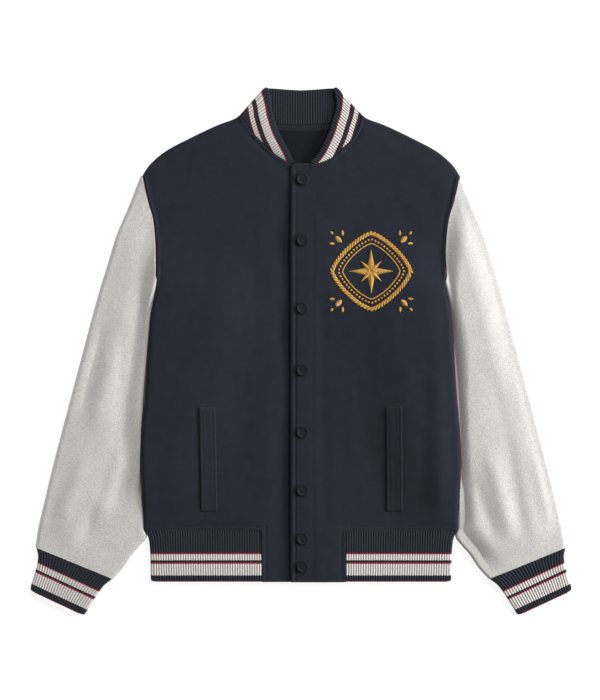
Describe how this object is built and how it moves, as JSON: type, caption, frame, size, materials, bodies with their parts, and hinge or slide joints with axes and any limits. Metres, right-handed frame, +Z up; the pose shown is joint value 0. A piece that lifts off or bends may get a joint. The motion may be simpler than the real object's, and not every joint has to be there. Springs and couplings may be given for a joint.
{
  "type": "varsity jacket",
  "caption": "Varsity jacket laid flat on its back: dark navy melton body with snap front and welt pockets, off-white sleeves, striped navy and white rib collar, cuffs and hem.",
  "frame": {"origin": "the middle of the jacket's bounding box, on the surface that it lies on", "axes": "+Z up from that surface, +Y from the hem to the collar, +X to the wearer's left, the side that laps over"},
  "size_m": [0.7956, 0.7746, 0.0132],
  "materials": {
    "melton": "matt, brushed wool melton",
    "fleece": "matt, smooth heavy fleece",
    "rib": "matt rib knit with white and fine red stripes",
    "tape": "matt twill",
    "snap": "matt paint"
  },
  "bodies": {
    "root": {"back_panel": "melton", "front_right": "melton", "front_left": "melton", "sleeve_right_top": "fleece", "sleeve_right_under": "fleece", "sleeve_left_top": "fleece", "sleeve_left_under": "fleece", "cuff_right": "rib", "cuff_left": "rib", "collar": "rib", "hem_rib": "rib", "welt_right": "melton", "welt_left": "melton", "neck_tape": "tape", "snap_1": "snap", "snap_2": "snap", "snap_3": "snap", "snap_4": "snap", "snap_5": "snap", "snap_6": "snap", "snap_7": "snap", "snap_8": "snap"}
  },
  "joints": []
}
